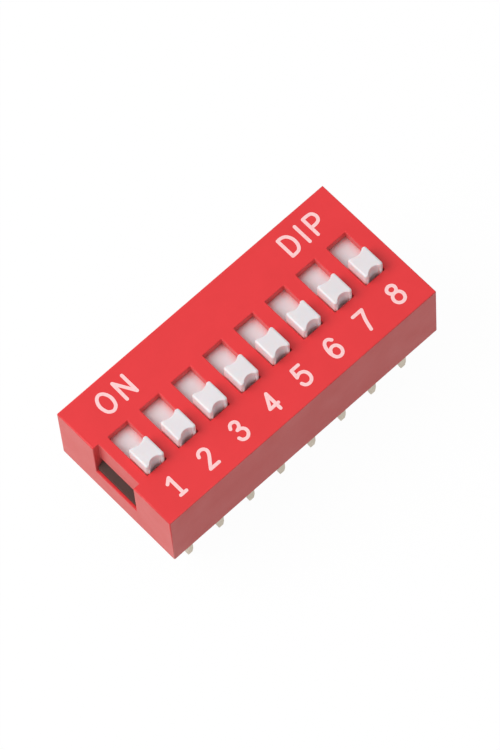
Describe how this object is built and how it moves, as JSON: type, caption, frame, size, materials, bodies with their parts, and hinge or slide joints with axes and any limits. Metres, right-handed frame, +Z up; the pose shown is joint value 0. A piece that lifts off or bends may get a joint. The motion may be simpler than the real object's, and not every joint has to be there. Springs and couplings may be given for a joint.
{
  "type": "dip switch",
  "caption": "Slide DIP switch in a red rectangular housing, with a row of raised white sliders in slots and two rows of through-board pins.",
  "frame": {"origin": "middle of the seating plane, the plane of the cover's rim and of the base's seating pad, which lies on the circuit board", "axes": "+X along the row from position 1 to position 8, +Y towards the side where a slider is on, +Z up out of the board"},
  "size_m": [0.0218, 0.0098, 0.0103],
  "materials": {
    "cover": "red moulded thermoplastic, satin",
    "base": "black glass-filled moulding",
    "slider": "white moulded thermoplastic, fine matte",
    "contact": "gold-flashed copper alloy strip",
    "terminal": "tinned copper alloy strip, dull"
  },
  "bodies": {
    "housing": {"cover": "cover", "base": "base", "terminal_1": "terminal", "terminal_2": "terminal", "terminal_3": "terminal", "terminal_4": "terminal", "terminal_5": "terminal", "terminal_6": "terminal", "terminal_7": "terminal", "terminal_8": "terminal", "terminal_9": "terminal", "terminal_10": "terminal", "terminal_11": "terminal", "terminal_12": "terminal", "terminal_13": "terminal", "terminal_14": "terminal", "terminal_15": "terminal", "terminal_16": "terminal"},
    "switch_1": {"slider_1": "slider", "contact_1": "contact"},
    "switch_2": {"slider_2": "slider", "contact_2": "contact"},
    "switch_3": {"slider_3": "slider", "contact_3": "contact"},
    "switch_4": {"slider_4": "slider", "contact_4": "contact"},
    "switch_5": {"slider_5": "slider", "contact_5": "contact"},
    "switch_6": {"slider_6": "slider", "contact_6": "contact"},
    "switch_7": {"slider_7": "slider", "contact_7": "contact"},
    "switch_8": {"slider_8": "slider", "contact_8": "contact"}
  },
  "joints": [
    {"name": "slide_1", "type": "slide", "parent": "housing", "child": "switch_1", "axis": [0, 1, 0], "range_m": [0, 0.00173]},
    {"name": "slide_2", "type": "slide", "parent": "housing", "child": "switch_2", "axis": [0, 1, 0], "range_m": [0, 0.00173]},
    {"name": "slide_3", "type": "slide", "parent": "housing", "child": "switch_3", "axis": [0, 1, 0], "range_m": [0, 0.00173]},
    {"name": "slide_4", "type": "slide", "parent": "housing", "child": "switch_4", "axis": [0, 1, 0], "range_m": [0, 0.00173]},
    {"name": "slide_5", "type": "slide", "parent": "housing", "child": "switch_5", "axis": [0, 1, 0], "range_m": [0, 0.00173]},
    {"name": "slide_6", "type": "slide", "parent": "housing", "child": "switch_6", "axis": [0, 1, 0], "range_m": [0, 0.00173]},
    {"name": "slide_7", "type": "slide", "parent": "housing", "child": "switch_7", "axis": [0, 1, 0], "range_m": [0, 0.00173]},
    {"name": "slide_8", "type": "slide", "parent": "housing", "child": "switch_8", "axis": [0, 1, 0], "range_m": [0, 0.00173]}
  ]
}
